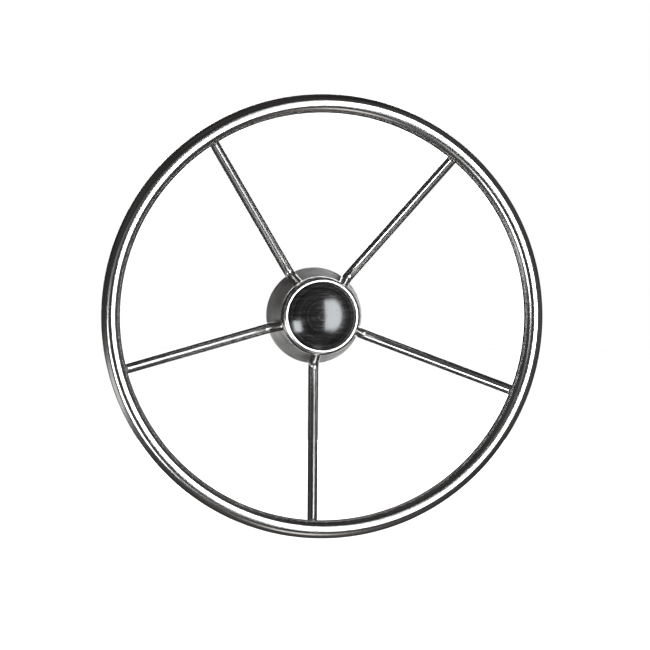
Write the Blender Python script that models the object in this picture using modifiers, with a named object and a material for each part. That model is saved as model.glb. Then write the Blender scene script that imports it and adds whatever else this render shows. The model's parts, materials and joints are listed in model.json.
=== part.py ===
"""A five-spoke dished boat steering wheel on the short helm bearing that it turns in.

The row frame has its origin on the turning axis, in the helm's mounting face. The axis lies along Y,
the driver stands at -Y, and +Z is up. Every piece is drawn in a turning frame whose +Z is "ahead",
towards the driver, and is then tipped over so that ahead becomes -Y. Heights below are distances
ahead of the mounting face.
"""

import math

import bmesh
import bpy
from mathutils import Matrix

# Rim and spokes
RIM_OUTER_D = 0.394
TUBE_R = 0.0084
TUBE_WALL = 0.0012
RIM_R = RIM_OUTER_D / 2 - TUBE_R
RIM_AHEAD = 0.090
SPOKES = 5
FIRST_SPOKE = math.radians(50.6)
DISH_SLOPE = 0.437
SPOKE_R_RIM = 0.0045
SPOKE_R_HUB = 0.0047
KNUCKLE_R = 0.043
KNUCKLE_BEND = 0.008
STUB_END = (0.0315, 0.0514)
ROD_INTO_RIM = TUBE_R * 0.6
VENT_R = 0.0020

# Hub: front cup, rear skirt and the tapered core that carries them
CUP_LIP_MIDDLE = (0.0318, 0.0648)
CUP_LIP_R = 0.0042
CUP_LIP_INNER = [(0.0305, 0.0681), (0.0316, 0.0689)]
CUP_BOWL = [(0.0358, 0.0595), (0.0350, 0.0530), (0.0340, 0.0450), (0.0332, 0.0380)]
CUP_INNER_R = 0.0308
CUP_LIP_ROOT = 0.0653
CUP_FILLET = 0.0010
CUP_FLOOR = 0.0380
CUP_FLOOR_T = 0.0020
CUP_FLOOR_HOLE_R = 0.0072
SKIRT_FRONT = (0.0324, 0.0370)
SKIRT_BACK = (0.0445, 0.0095)
SKIRT_T = 0.0012
SKIRT_EDGE = (0.0008, 0.0006)
CORE_R = 0.0215
CORE_BACK = 0.0101
CORE_FRONT = 0.0376
CORE_EDGE = (0.003, 0.006)
CHAMFER = 0.001

# Shaft, with a 1 in 12 taper on its diameter
SHAFT_R = 0.0095
TAPER = 1 / 24
THREAD_R = 0.0063
SHAFT_TAIL = -0.040
SHAFT_END = 0.0580
KEY = (0.0044, 0.0046, 0.0160)
KEY_MIDDLE = 0.0230

# Nut stack inside the cup
WASHER_R = 0.0125
WASHER_T = 0.0018
NUT_FLATS = 0.0220
NUT_H = 0.0110
INSERT_R = 0.0088
INSERT_H = 0.0026

# Centre cap
CAP_R = 0.0302
CAP_EDGE = 0.0690
CAP_RISE = 0.0085
CAP_WALL = 0.0024
SPIGOT_R = 0.0294
SPIGOT_FOOT = 0.0570
ORING_WIRE_R = 0.0012
ORING_R = 0.0289
ORING_AHEAD = 0.0615
CAP_RIM = (0.0008, 0.0016)
CAP_BORE_R = SPIGOT_R - CAP_WALL * 1.4
CAP_INNER_RISE = 0.0075
SPIGOT_DRAFT = 0.0006

# Helm bearing: flange on the dash, sleeve through it, two bushes and a seal on the shaft
FLANGE_R = 0.040
FLANGE_T = 0.0075
FLANGE_CHAMFER = 0.0015
SLEEVE_R = 0.0170
SLEEVE_TAIL = -0.0300
SLEEVE_BORE_R = 0.0133
BUSH_LIP_R = 0.0160
BUSH_LIP_T = 0.0015
BUSH_LENGTH = 0.0100
SEAL_T = 0.0035
SEAL_LIP = 0.0012
SCREWS = 4
SCREW_CIRCLE_R = 0.0310
SCREW_R = 0.0024
SCREW_HEAD_R = 0.0045
SCREW_HEAD_H = 0.0028
SCREW_CROWN = [(0.6, 1.0), (0.93, 0.6)]
SCREW_TIP = -0.0180
CIRCLIP_R = 0.0120
CIRCLIP_T = 0.0012
CIRCLIP_WIDTH = 0.0040
CIRCLIP_MOUTH = (0.006, 0.010, 0.010)

GAP = 0.0003
STEPS = 40
SMALL_STEPS = 24
TUBE_STEPS = 12
SCREW_STEPS = 16
VENT_STEPS = 12
KNUCKLE_STEPS = 6
RIM_STEPS = 75
WELD_DISTANCE = 0.00001
TIP_FORWARD = math.pi / 2


def clear_scene():
    for old in list(bpy.data.objects):
        bpy.data.objects.remove(old, do_unlink=True)


def new_collection(name):
    made = bpy.data.collections.new(name)
    bpy.context.scene.collection.children.link(made)
    return made


def make_material(name, colour, metallic, roughness):
    made = bpy.data.materials.new(name)
    made.use_nodes = True
    shader = made.node_tree.nodes["Principled BSDF"]
    shader.inputs["Base Color"].default_value = (*colour, 1.0)
    shader.inputs["Metallic"].default_value = metallic
    shader.inputs["Roughness"].default_value = roughness
    return made


def place(name, mesh, finish, turn=0.0):
    """One named object, tipped so that its +Z points ahead, and turned about the axis."""
    piece = bpy.data.objects.new(name, mesh)
    piece.rotation_euler = (TIP_FORWARD, -turn, 0.0)
    if finish is None:
        piece.hide_render = True
        piece.display_type = "WIRE"
        cutters.objects.link(piece)
    else:
        mesh.materials.clear()
        mesh.materials.append(finish)
        parts.objects.link(piece)
    return piece


def turned(name, profile, finish, steps=STEPS, closed=True):
    """A profile of (radius, ahead) points, turned about the axis.

    It runs down its outer side. A closed one returns up its inner side, and an open one starts and
    ends on the axis.
    """
    mesh = bpy.data.meshes.new(name)
    corners = [(radius, 0.0, ahead) for radius, ahead in profile]
    count = len(corners)
    edges = [(i, (i + 1) % count) for i in range(count if closed else count - 1)]
    mesh.from_pydata(corners, edges, [])
    piece = place(name, mesh, finish)
    screw = piece.modifiers.new("turn", "SCREW")
    screw.axis = "Z"
    screw.angle = math.tau
    screw.steps = steps
    screw.render_steps = steps
    screw.use_merge_vertices = True
    screw.merge_threshold = WELD_DISTANCE
    screw.use_smooth_shade = True
    return piece


def ring(inner, outer, back, front):
    """The profile of a plain ring."""
    return [(inner, front), (outer, front), (outer, back), (inner, back)]


def plug(outer, back, front):
    """The profile of a plain disc or rod, with both ends on the axis."""
    return [(0.0, front), (outer, front), (outer, back), (0.0, back)]


def arc(centre, radius, start, end, points):
    """Points on an arc in the (radius, ahead) plane, from one angle to another in degrees."""
    turns = [math.radians(start + (end - start) * i / (points - 1)) for i in range(points)]
    return [
        (centre[0] + radius * math.cos(turn), centre[1] + radius * math.sin(turn)) for turn in turns
    ]


def cut(piece, cutter):
    """Takes a cutter out of a piece, exactly."""
    boolean = piece.modifiers.new("cut_" + cutter.name, "BOOLEAN")
    boolean.operation = "DIFFERENCE"
    boolean.solver = "EXACT"
    boolean.object = cutter


def box_mesh(name, size, middle):
    mesh = bpy.data.meshes.new(name)
    shape = bmesh.new()
    bmesh.ops.create_cube(shape, size=1.0)
    bmesh.ops.scale(shape, vec=size, verts=shape.verts)
    bmesh.ops.translate(shape, vec=middle, verts=shape.verts)
    shape.to_mesh(mesh)
    shape.free()
    return mesh


def torus(name, finish, tube_r):
    """The rim's ring of round section, round the turning axis."""
    bpy.ops.mesh.primitive_torus_add(
        major_segments=RIM_STEPS,
        minor_segments=TUBE_STEPS,
        major_radius=RIM_R,
        minor_radius=tube_r,
        location=(0.0, 0.0, 0.0),
    )
    made = bpy.context.object
    mesh = made.data
    bpy.data.objects.remove(made)
    lift = bmesh.new()
    lift.from_mesh(mesh)
    bmesh.ops.translate(lift, vec=(0.0, 0.0, RIM_AHEAD), verts=lift.verts)
    lift.to_mesh(mesh)
    lift.free()
    mesh.shade_smooth()
    mesh.name = name
    return place(name, mesh, finish)


def spoke_turn(number):
    return FIRST_SPOKE + math.tau * number / SPOKES


def spoke_ahead(radius):
    """Height of the straight stretch's centre line at a distance from the axis."""
    return RIM_AHEAD - (RIM_R - radius) * DISH_SLOPE


def make_rim(finish):
    """A tube bent to a ring, with a small vent hole under the end of each spoke."""
    rim = torus("rim_tube", finish, TUBE_R)
    wall = rim.modifiers.new("wall", "SOLIDIFY")
    wall.thickness = TUBE_WALL
    wall.offset = -1.0
    lean = math.atan(DISH_SLOPE)
    for number in range(SPOKES):
        mesh = bpy.data.meshes.new("vent")
        shape = bmesh.new()
        bmesh.ops.create_cone(
            shape, cap_ends=True, segments=VENT_STEPS, radius1=VENT_R, radius2=VENT_R, depth=TUBE_R
        )
        lay_over = Matrix.Rotation(math.pi / 2 - lean, 3, "Y")
        bmesh.ops.rotate(shape, matrix=lay_over, verts=shape.verts)
        centre = (RIM_R - TUBE_R * math.cos(lean), 0.0, RIM_AHEAD - TUBE_R * math.sin(lean))
        bmesh.ops.translate(shape, vec=centre, verts=shape.verts)
        shape.to_mesh(mesh)
        shape.free()
        cut(rim, place(f"vent_{number + 1}", mesh, None, spoke_turn(number)))


def spoke_path():
    """The spoke's centre line from rim to hub: straight, a bent knuckle, and a short stub forward."""
    rim_end = (RIM_R - ROD_INTO_RIM, spoke_ahead(RIM_R - ROD_INTO_RIM))
    knuckle = (KNUCKLE_R, spoke_ahead(KNUCKLE_R))
    into = unit(knuckle, rim_end)
    out = unit(knuckle, STUB_END)
    half = math.acos(into[0] * out[0] + into[1] * out[1]) / 2
    reach = KNUCKLE_BEND / math.tan(half)
    first = (knuckle[0] + into[0] * reach, knuckle[1] + into[1] * reach)
    last = (knuckle[0] + out[0] * reach, knuckle[1] + out[1] * reach)
    bend = []
    for step in range(KNUCKLE_STEPS + 1):
        share = step / KNUCKLE_STEPS
        pull_first = (1 - share) ** 2
        pull_knuckle = 2 * share * (1 - share) * math.sin(half)
        pull_last = share**2
        total = pull_first + pull_knuckle + pull_last
        radius, ahead = (
            (pull_first * start + pull_knuckle * middle + pull_last * end) / total
            for start, middle, end in zip(first, knuckle, last, strict=True)
        )
        bend.append((radius, ahead))
    return [rim_end, *bend, STUB_END]


def unit(start, end):
    length = math.hypot(end[0] - start[0], end[1] - start[1])
    return ((end[0] - start[0]) / length, (end[1] - start[1]) / length)


def make_spokes(finish):
    """Five bent rods, coped at one end to the rim and at the other to the cup."""
    curve = bpy.data.curves.new("spoke_line", "CURVE")
    curve.dimensions = "3D"
    curve.bevel_depth = SPOKE_R_HUB
    curve.bevel_resolution = 2
    curve.render_resolution_u = 0
    curve.use_fill_caps = True
    path = spoke_path()
    spline = curve.splines.new("POLY")
    spline.points.add(len(path) - 1)
    for point, (radius, ahead) in zip(spline.points, path, strict=True):
        point.co = (radius, 0.0, ahead, 1.0)
        share = (radius - KNUCKLE_R) / (RIM_R - KNUCKLE_R)
        point.radius = 1.0 + min(1.0, max(0.0, share)) * (SPOKE_R_RIM / SPOKE_R_HUB - 1.0)
    line = bpy.data.objects.new("spoke_line", curve)
    cutters.objects.link(line)
    mesh = bpy.data.meshes.new_from_object(line.evaluated_get(bpy.context.evaluated_depsgraph_get()))
    bpy.data.objects.remove(line)
    weld = bmesh.new()
    weld.from_mesh(mesh)
    bmesh.ops.remove_doubles(weld, verts=weld.verts, dist=WELD_DISTANCE)
    weld.to_mesh(mesh)
    weld.free()
    mesh.shade_smooth()
    rim_cope = torus("rim_cope", None, TUBE_R + GAP)
    cup_cope = turned("cup_cope", cup_envelope(), None, closed=False)
    for number in range(SPOKES):
        spoke = place(f"spoke_{number + 1}", mesh, finish, spoke_turn(number))
        cut(spoke, rim_cope)
        cut(spoke, cup_cope)


def cup_side(grow=0.0):
    """The cup's outer side from its crest down to its waist: a rolled lip over a bowl."""
    lip = arc(CUP_LIP_MIDDLE, CUP_LIP_R + grow, 75, 0, 5)
    return lip + [(radius + grow, ahead) for radius, ahead in CUP_BOWL]


def cup_envelope():
    """The cup grown by the gap and closed on the axis, to cope the spokes' ends."""
    side = cup_side(GAP)
    return [(0.0, side[0][1]), *side, (0.0, side[-1][1])]


def make_cup(finish):
    floor_top = CUP_FLOOR + CUP_FLOOR_T
    inside = [
        (CUP_FLOOR_HOLE_R, CUP_FLOOR),
        (CUP_FLOOR_HOLE_R, floor_top),
        (CUP_INNER_R - CUP_FILLET, floor_top),
        (CUP_INNER_R, floor_top + CUP_FILLET),
        (CUP_INNER_R, CUP_LIP_ROOT),
    ]
    turned("hub_cup", [*CUP_LIP_INNER, *cup_side(), *inside], finish)


def make_skirt(finish):
    """A straight cone of sheet metal, with its front edge turned in under the cup."""
    slope = (SKIRT_BACK[0] - SKIRT_FRONT[0]) / (SKIRT_FRONT[1] - SKIRT_BACK[1])
    inner_front = SKIRT_FRONT[1] - SKIRT_T
    shoulder = SKIRT_FRONT[0] - SKIRT_T + slope * SKIRT_T
    profile = [
        (CORE_R + GAP, SKIRT_FRONT[1]),
        (SKIRT_FRONT[0] - SKIRT_EDGE[0], SKIRT_FRONT[1]),
        (SKIRT_FRONT[0], SKIRT_FRONT[1] - SKIRT_EDGE[1]),
        SKIRT_BACK,
        (SKIRT_BACK[0] - SKIRT_T, SKIRT_BACK[1]),
        (shoulder, inner_front),
        (CORE_R + GAP, inner_front),
    ]
    turned("hub_skirt", profile, finish)


def shaft_radius(ahead):
    """Radius of the shaft's taper at a height above the core's back face."""
    return SHAFT_R - (ahead - CORE_BACK) * TAPER


def make_core(finish, key_slot):
    """The thick boss whose tapered bore and keyway grip the shaft."""
    profile = [
        (shaft_radius(CORE_FRONT) + GAP, CORE_FRONT),
        (CORE_R - CHAMFER, CORE_FRONT),
        (CORE_R, CORE_FRONT - CHAMFER),
        (CORE_R, CORE_BACK + CORE_EDGE[1]),
        (CORE_R - CORE_EDGE[0], CORE_BACK),
        (SHAFT_R + GAP, CORE_BACK),
    ]
    cut(turned("hub_core", profile, finish), key_slot)


def make_shaft(finish, key_slot):
    """Round through the bearing, tapered through the core and threaded for the nut."""
    shoulder = CORE_FRONT - GAP
    groove_back = SLEEVE_TAIL - BUSH_LIP_T - 2 * GAP
    groove_deep = CIRCLIP_R - CIRCLIP_WIDTH
    profile = [
        (0.0, SHAFT_END),
        (THREAD_R - CHAMFER, SHAFT_END),
        (THREAD_R, SHAFT_END - CHAMFER),
        (THREAD_R, shoulder),
        (shaft_radius(shoulder), shoulder),
        (SHAFT_R, CORE_BACK),
        (SHAFT_R, groove_back),
        (groove_deep, groove_back),
        (groove_deep, groove_back - CIRCLIP_T - 2 * GAP),
        (SHAFT_R, groove_back - CIRCLIP_T - 2 * GAP),
        (SHAFT_R, SHAFT_TAIL + CHAMFER),
        (SHAFT_R - CHAMFER, SHAFT_TAIL),
        (0.0, SHAFT_TAIL),
    ]
    cut(turned("steering_shaft", profile, finish, closed=False), key_slot)


def make_key(finish):
    """A square key, half in the shaft and half in the core, and the slot that it lies in."""
    middle = (0.0, shaft_radius(KEY_MIDDLE), KEY_MIDDLE)
    place("shaft_key", box_mesh("shaft_key", KEY, middle), finish)
    slot = tuple(side + 2 * GAP for side in KEY)
    return place("key_slot", box_mesh("key_slot", slot, middle), None)


def make_nut_stack(steel, nylon):
    """Flat washer, hexagon lock nut and the nylon ring in its collar."""
    back = CUP_FLOOR + CUP_FLOOR_T + GAP
    washer = ring(THREAD_R + GAP, WASHER_R, back, back + WASHER_T)
    turned("shaft_washer", washer, steel, SMALL_STEPS)
    back += WASHER_T + GAP
    mesh = bpy.data.meshes.new("shaft_nut")
    shape = bmesh.new()
    corner_r = NUT_FLATS / math.sqrt(3)
    bmesh.ops.create_cone(
        shape, cap_ends=True, segments=6, radius1=corner_r, radius2=corner_r, depth=NUT_H
    )
    bmesh.ops.translate(shape, vec=(0.0, 0.0, back + NUT_H / 2), verts=shape.verts)
    shape.to_mesh(mesh)
    shape.free()
    nut = place("shaft_nut", mesh, steel)
    front = back + NUT_H
    seat = front - INSERT_H - 2 * GAP
    bore = [
        (0.0, front + GAP),
        (INSERT_R + GAP, front + GAP),
        (INSERT_R + GAP, seat),
        (THREAD_R + GAP, seat),
        (THREAD_R + GAP, back - GAP),
        (0.0, back - GAP),
    ]
    cut(nut, turned("nut_bore", bore, None, SMALL_STEPS, closed=False))
    insert = ring(THREAD_R + GAP, INSERT_R, seat + GAP, seat + GAP + INSERT_H)
    turned("nut_insert", insert, nylon, SMALL_STEPS)


def dome(rise, radius, edge, points):
    """A shallow dome from its crown on the axis out to its edge."""
    ball = (radius**2 + rise**2) / (2 * rise)
    sweep = math.degrees(math.asin(radius / ball))
    curve = arc((0.0, edge + rise - ball), ball, 90, 90 - sweep, points)
    return [(0.0, edge + rise), *curve[1:]]


def make_cap(plastic, rubber):
    """The black domed cap, its spigot and the O-ring that holds it in the cup."""
    groove = ORING_WIRE_R + GAP
    groove_r = ORING_R - ORING_WIRE_R - GAP
    under = dome(CAP_INNER_RISE, CAP_BORE_R, CAP_EDGE - CAP_WALL, 5)
    profile = [
        *dome(CAP_RISE, CAP_R, CAP_EDGE, 8),
        (CAP_R, CAP_EDGE - CAP_RIM[0]),
        (SPIGOT_R, CAP_EDGE - CAP_RIM[1]),
        (SPIGOT_R, ORING_AHEAD + groove),
        (groove_r, ORING_AHEAD + groove),
        (groove_r, ORING_AHEAD - groove),
        (SPIGOT_R, ORING_AHEAD - groove),
        (SPIGOT_R - SPIGOT_DRAFT, SPIGOT_FOOT),
        (CAP_BORE_R, SPIGOT_FOOT),
        *reversed(under),
    ]
    turned("centre_cap", profile, plastic, closed=False)
    loop = arc((ORING_R, ORING_AHEAD), ORING_WIRE_R, 90, -225, 8)
    turned("cap_o_ring", loop, rubber)


def make_helm(alloy, bronze, rubber, steel):
    """The fixed bearing: flange and sleeve, two lipped bushes, a seal and four screws."""
    housing = [
        (SLEEVE_BORE_R, FLANGE_T),
        (FLANGE_R - FLANGE_CHAMFER, FLANGE_T),
        (FLANGE_R, FLANGE_T - FLANGE_CHAMFER),
        (FLANGE_R, 0.0),
        (SLEEVE_R, 0.0),
        (SLEEVE_R, SLEEVE_TAIL),
        (SLEEVE_BORE_R, SLEEVE_TAIL),
    ]
    flange = turned("helm_flange", housing, alloy)
    tube_r = SLEEVE_BORE_R - GAP
    bore_r = SHAFT_R + GAP
    face = FLANGE_T + GAP
    front_bush = [
        (bore_r, face + BUSH_LIP_T),
        (BUSH_LIP_R, face + BUSH_LIP_T),
        (BUSH_LIP_R, face),
        (tube_r, face),
        (tube_r, face - BUSH_LENGTH),
        (bore_r, face - BUSH_LENGTH),
    ]
    turned("front_bush", front_bush, bronze)
    seal_front = face - BUSH_LENGTH - GAP
    seal = [
        (bore_r + SEAL_LIP, seal_front),
        (tube_r, seal_front),
        (tube_r, seal_front - SEAL_T),
        (bore_r + SEAL_LIP, seal_front - SEAL_T),
        (bore_r, seal_front - SEAL_T / 2),
    ]
    turned("shaft_seal", seal, rubber)
    tail = SLEEVE_TAIL - GAP
    rear_bush = [
        (bore_r, tail + BUSH_LENGTH),
        (tube_r, tail + BUSH_LENGTH),
        (tube_r, tail),
        (BUSH_LIP_R, tail),
        (BUSH_LIP_R, tail - BUSH_LIP_T),
        (bore_r, tail - BUSH_LIP_T),
    ]
    turned("rear_bush", rear_bush, bronze)
    make_screws(flange, steel)


def make_screws(flange, steel):
    """Four pan-head screws, each in its own hole through the flange."""
    seat = FLANGE_T + GAP
    crown = [(SCREW_HEAD_R * out, seat + SCREW_HEAD_H * up) for out, up in SCREW_CROWN]
    shank = [
        (0.0, seat + SCREW_HEAD_H),
        *crown,
        (SCREW_HEAD_R, seat),
        (SCREW_R, seat),
        (SCREW_R, SCREW_TIP + SCREW_R),
        (0.0, SCREW_TIP),
    ]
    hole = plug(SCREW_R + GAP, -CHAMFER, FLANGE_T + CHAMFER)
    for number in range(SCREWS):
        angle = math.tau * (number + 0.5) / SCREWS
        across = SCREW_CIRCLE_R * math.cos(angle)
        up = SCREW_CIRCLE_R * math.sin(angle)
        screw = turned(f"mount_screw_{number + 1}", shank, steel, SCREW_STEPS, closed=False)
        screw.location = (across, 0.0, up)
        cutter = turned(f"screw_hole_{number + 1}", hole, None, SCREW_STEPS, closed=False)
        cutter.location = (across, 0.0, up)
        cut(flange, cutter)


def make_circlip(steel):
    """The open spring ring that keeps the shaft in the bearing, cut through at its top."""
    front = SLEEVE_TAIL - BUSH_LIP_T - 3 * GAP
    inner = CIRCLIP_R - CIRCLIP_WIDTH + GAP
    clip = turned("shaft_circlip", ring(inner, CIRCLIP_R, front - CIRCLIP_T, front), steel)
    middle = (0.0, CIRCLIP_R - CIRCLIP_WIDTH / 2, front - CIRCLIP_T / 2)
    mouth = box_mesh("circlip_mouth", CIRCLIP_MOUTH, middle)
    cut(clip, place("circlip_mouth", mesh=mouth, finish=None))


clear_scene()
parts = new_collection("five_spoke_boat_wheel")
cutters = new_collection("cutters")

polished = make_material("polished_stainless", (0.62, 0.61, 0.60), 1.0, 0.06)
satin = make_material("satin_stainless", (0.45, 0.44, 0.43), 1.0, 0.35)
machined = make_material("machined_steel", (0.50, 0.50, 0.50), 1.0, 0.30)
zinc = make_material("zinc_plated_steel", (0.55, 0.55, 0.53), 1.0, 0.35)
black = make_material("black_gloss_plastic", (0.012, 0.011, 0.012), 0.0, 0.12)
nylon = make_material("white_nylon", (0.75, 0.75, 0.70), 0.0, 0.45)
rubber = make_material("black_rubber", (0.02, 0.02, 0.02), 0.0, 0.70)
bronze = make_material("bearing_bronze", (0.48, 0.30, 0.14), 1.0, 0.35)
alloy = make_material("cast_aluminium", (0.40, 0.41, 0.42), 1.0, 0.45)

make_rim(polished)
make_spokes(polished)
make_cup(polished)
make_skirt(satin)
slot = make_key(machined)
make_core(machined, slot)
make_shaft(machined, slot)
make_nut_stack(zinc, nylon)
make_circlip(zinc)
make_cap(black, rubber)
make_helm(alloy, bronze, rubber, zinc)
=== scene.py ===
"""The looks of a five-spoke dished boat wheel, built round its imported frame.

Every surface is worked out in metres in the frame's own axes: Y is the turning axis, the driver is
at -Y and +Z is up. "Ahead" is the distance towards the driver from the helm's mounting face.
"""

import json
import math

import bpy
import numpy as np
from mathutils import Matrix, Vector


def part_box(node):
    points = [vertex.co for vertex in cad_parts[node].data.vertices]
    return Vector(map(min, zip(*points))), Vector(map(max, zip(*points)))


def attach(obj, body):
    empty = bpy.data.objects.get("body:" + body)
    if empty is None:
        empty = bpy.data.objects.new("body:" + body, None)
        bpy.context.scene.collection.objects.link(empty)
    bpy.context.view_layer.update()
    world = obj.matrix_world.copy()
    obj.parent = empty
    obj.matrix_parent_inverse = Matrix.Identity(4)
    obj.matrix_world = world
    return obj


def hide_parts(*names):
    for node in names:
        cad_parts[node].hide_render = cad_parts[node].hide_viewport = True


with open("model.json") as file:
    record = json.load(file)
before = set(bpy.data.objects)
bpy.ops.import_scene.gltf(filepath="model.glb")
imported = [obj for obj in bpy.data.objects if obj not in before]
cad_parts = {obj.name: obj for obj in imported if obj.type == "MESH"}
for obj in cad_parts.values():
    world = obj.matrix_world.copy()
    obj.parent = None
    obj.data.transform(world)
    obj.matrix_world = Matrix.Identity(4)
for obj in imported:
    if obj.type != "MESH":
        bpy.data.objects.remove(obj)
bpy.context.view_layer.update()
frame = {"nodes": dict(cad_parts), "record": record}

bl_info = {
    "name": "Dished boat wheel",
    "version": (1, 0, 0),
    "blender": (4, 5, 0),
    "location": "View3D > Sidebar > Boat Wheel",
    "description": "Builds the finished surfaces of a five-spoke dished boat wheel",
    "category": "Object",
}

MM = 0.001
SPOKES = 5
SCREWS = 4
WHEEL = "wheel"
CAP = "cap"
HELM = "helm"

# Room left between pieces that touch, as in the frame, and the radius at which a turned profile
# stops short of the axis
GAP = 0.3 * MM
NEAR_AXIS = 0.1 * MM

# How a spoke runs on into the rim's tube, as a share of the tube's radius
SPOKE_BURIED = 0.5

# The cup's lip: from its mouth over its crest to its side, in degrees, and where its arc is centred
LIP_SWEEP = (112.0, 18.0)
LIP_INSET = 4.3 * MM
# The cup's side as (radius, ahead): the swell under the lip, past the cup's radius, and the bowl
CUP_SWELL = (0.3 * MM, 0.0610)
CUP_MIDDLE = (0.0350, 0.0530)
CUP_WAIST = 0.0332
# How far under its crest the cup's inside starts to draw in, and where it meets the mouth
CUP_NECK = (6 * MM, 3 * MM)
CUP_BEND = (9 * MM, 20 * MM, 0.6 * MM, 0.3 * MM, 0.3 * MM, 1 * MM, 1 * MM, 0.4 * MM)

# How far inside its front radius the skirt's cone starts
SKIRT_INSET = 0.3 * MM
SKIRT_BEND = (0.2 * MM, 0.8 * MM, 0.45 * MM, 0.45 * MM, 0.3 * MM, 0.2 * MM)

# The turn in radians, next to the axis, at which the cap's dome starts
DOME_START = 0.0002
# The cap's edge, its spigot and the groove for its ring
CAP_EDGE_BEND = 0.3 * MM
CAP_EDGE_INSET = 0.5 * MM
CAP_LIP = 0.8 * MM
GROOVE_HALF = 1.5 * MM
GROOVE_DEEP = 2.0 * MM
SPIGOT_DRAFT = 0.6 * MM
CAP_BEND = (0.3 * MM, 0.3 * MM, 0, 0.1 * MM, 0.2 * MM, 0.2 * MM, 0.1 * MM, 0.4 * MM, 0.4 * MM)

HOUSING_BEND = (0.4 * MM, 1.8 * MM, 0.5 * MM, 0.4 * MM, 0.8 * MM, 0.4 * MM)
BUSH_LIP = 1.5 * MM
BUSH_BEND = (0.3 * MM, 0.3 * MM, 0.3 * MM, 0.1 * MM, 0.3 * MM, 0.3 * MM)

# The shaft: a 1 in 12 taper on its diameter, a groove, a centre drilled in its tail, a thread and
# its corners' bends, which are in millimetres
TAPER = 1 / 24
CLIP_GROOVE = 1.5 * MM
CENTRE_DRILL = (2.6 * MM, 2.5 * MM)
SHAFT_PITCH = 1.5 * MM
SHAFT_THREAD = 0.8 * MM
SHAFT_BEND = (0, 1, 0.3, 0.4, 4, 0.1, 0.1, 0.1, 0.1, 1, 0.2, 0)

# A screw's head, and its thread, from 1 mm behind the flange to 1 mm short of the tip
SCREW_HEAD = 2.8 * MM
SCREW_EDGE = 0.2 * MM
SCREW_PITCH = 0.8 * MM
SCREW_THREAD = 0.45 * MM
SCREW_BARE = 1 * MM
SCREW_BEND = (0, 2 * MM, 0.2 * MM, 0.2 * MM, 0.3 * MM, 0)

# The stage. Places are in degrees, to the right of ahead and upwards, seen from the rim's middle
FAR = 4.0
COOL = (0.92, 0.97, 1.0)
WHITE = (1.0, 1.0, 1.0)
# Azimuth, elevation, width and height in degrees, then radiance and colour
KEY_SOFTBOX = (28.5, 1.5, 34.0, 62.0, 13.0, COOL)
CARDS = {
    "left_fill": (-40.5, -18.5, 14.0, 19.0, 14.0, COOL),
    "left_card": (-100.0, -22.0, 60.0, 14.0, 1.1, WHITE),
    "low_card": (0.0, -66.0, 14.0, 20.0, 1.6, WHITE),
    "back_softbox": (176.0, 4.0, 30.0, 40.0, 5.0, COOL),
}
SOFT_EDGE = 0.70
FLOOR_HEIGHT = -0.42
FLOOR_REACH = 12.0
WASH_POWER = 3.7
WASH_SPREAD = 70.0
# The dim room: its tone, its walls' pattern and range of glow, and what its floor and right add
ROOM_TONE = "FFFAF7"
ROOM_PATTERN = (1.6, 1.6, 7.0)
ROOM_DIM = (0.018, 0.10)
ROOM_BELOW = 0.06
ROOM_RIGHT = 0.04
# The camera: its distance in metres, azimuth and elevation, then its lens, sensor and shift
EYE = (1.8, -7.14, 0.93)
LENS = 112.6
SENSOR = 36.0
SHIFT = (0.0006, -0.0129)


# Sizes read from the frame


def radius_of(node):
    """Outer radius of a turned node."""
    low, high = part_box(node)
    return (high.x - low.x) / 2


def front_of(node):
    """How far ahead of the mounting face a node's front is."""
    return -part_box(node)[0].y


def back_of(node):
    """How far ahead of the mounting face a node's back is."""
    return -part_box(node)[1].y


def linear(code):
    """An sRGB hex colour as linear red, green and blue."""
    channels = [int(code[i : i + 2], 16) / 255 for i in (0, 2, 4)]
    return tuple(c / 12.92 if c <= 0.04045 else ((c + 0.055) / 1.055) ** 2.4 for c in channels)


def length(name, default, description):
    return bpy.props.FloatProperty(
        name=name, description=description, default=default, unit="LENGTH", precision=5
    )


def angle(name, degrees, description):
    return bpy.props.FloatProperty(
        name=name, description=description, default=math.radians(degrees), subtype="ANGLE"
    )


def colour(name, code, description):
    return bpy.props.FloatVectorProperty(
        name=name, description=description, default=linear(code), size=3, subtype="COLOR"
    )


class WheelSizes(bpy.types.PropertyGroup):
    """Sizes of the rim and the spokes."""

    rim_outer: length(
        "Rim outside radius", -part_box("rim_tube")[0].x, "From the axis to the rim's outer edge"
    )
    tube_radius: length("Tube radius", 0.0084, "Half the rim tube's thickness")
    rim_ahead: length(
        "Rim ahead", (front_of("rim_tube") + back_of("rim_tube")) / 2, "Height of the rim's plane"
    )
    first_spoke: angle("First spoke", 50.6, "Turn of the first spoke from +X towards +Z")
    dish: bpy.props.FloatProperty(
        name="Dish", description="Rise of a spoke over its run outwards", default=0.437
    )
    spoke_rim: length("Spoke radius at rim", 0.00445, "Half the rod's thickness at the rim")
    spoke_hub: length("Spoke radius at hub", 0.00475, "Half the rod's thickness at the hub")
    knuckle: length("Knuckle radius", 0.043, "Distance of the bend's corner from the axis")
    knuckle_bend: length("Knuckle bend", 0.008, "Radius of the bend")
    stub_radius: length("Stub end radius", 0.0315, "Distance of the stub's end from the axis")
    stub_ahead: length("Stub end ahead", 0.0514, "Height of the stub's end")
    weld: length("Weld leg", 0.0012, "Size of the ground fillet round a spoke's rim end")


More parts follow.
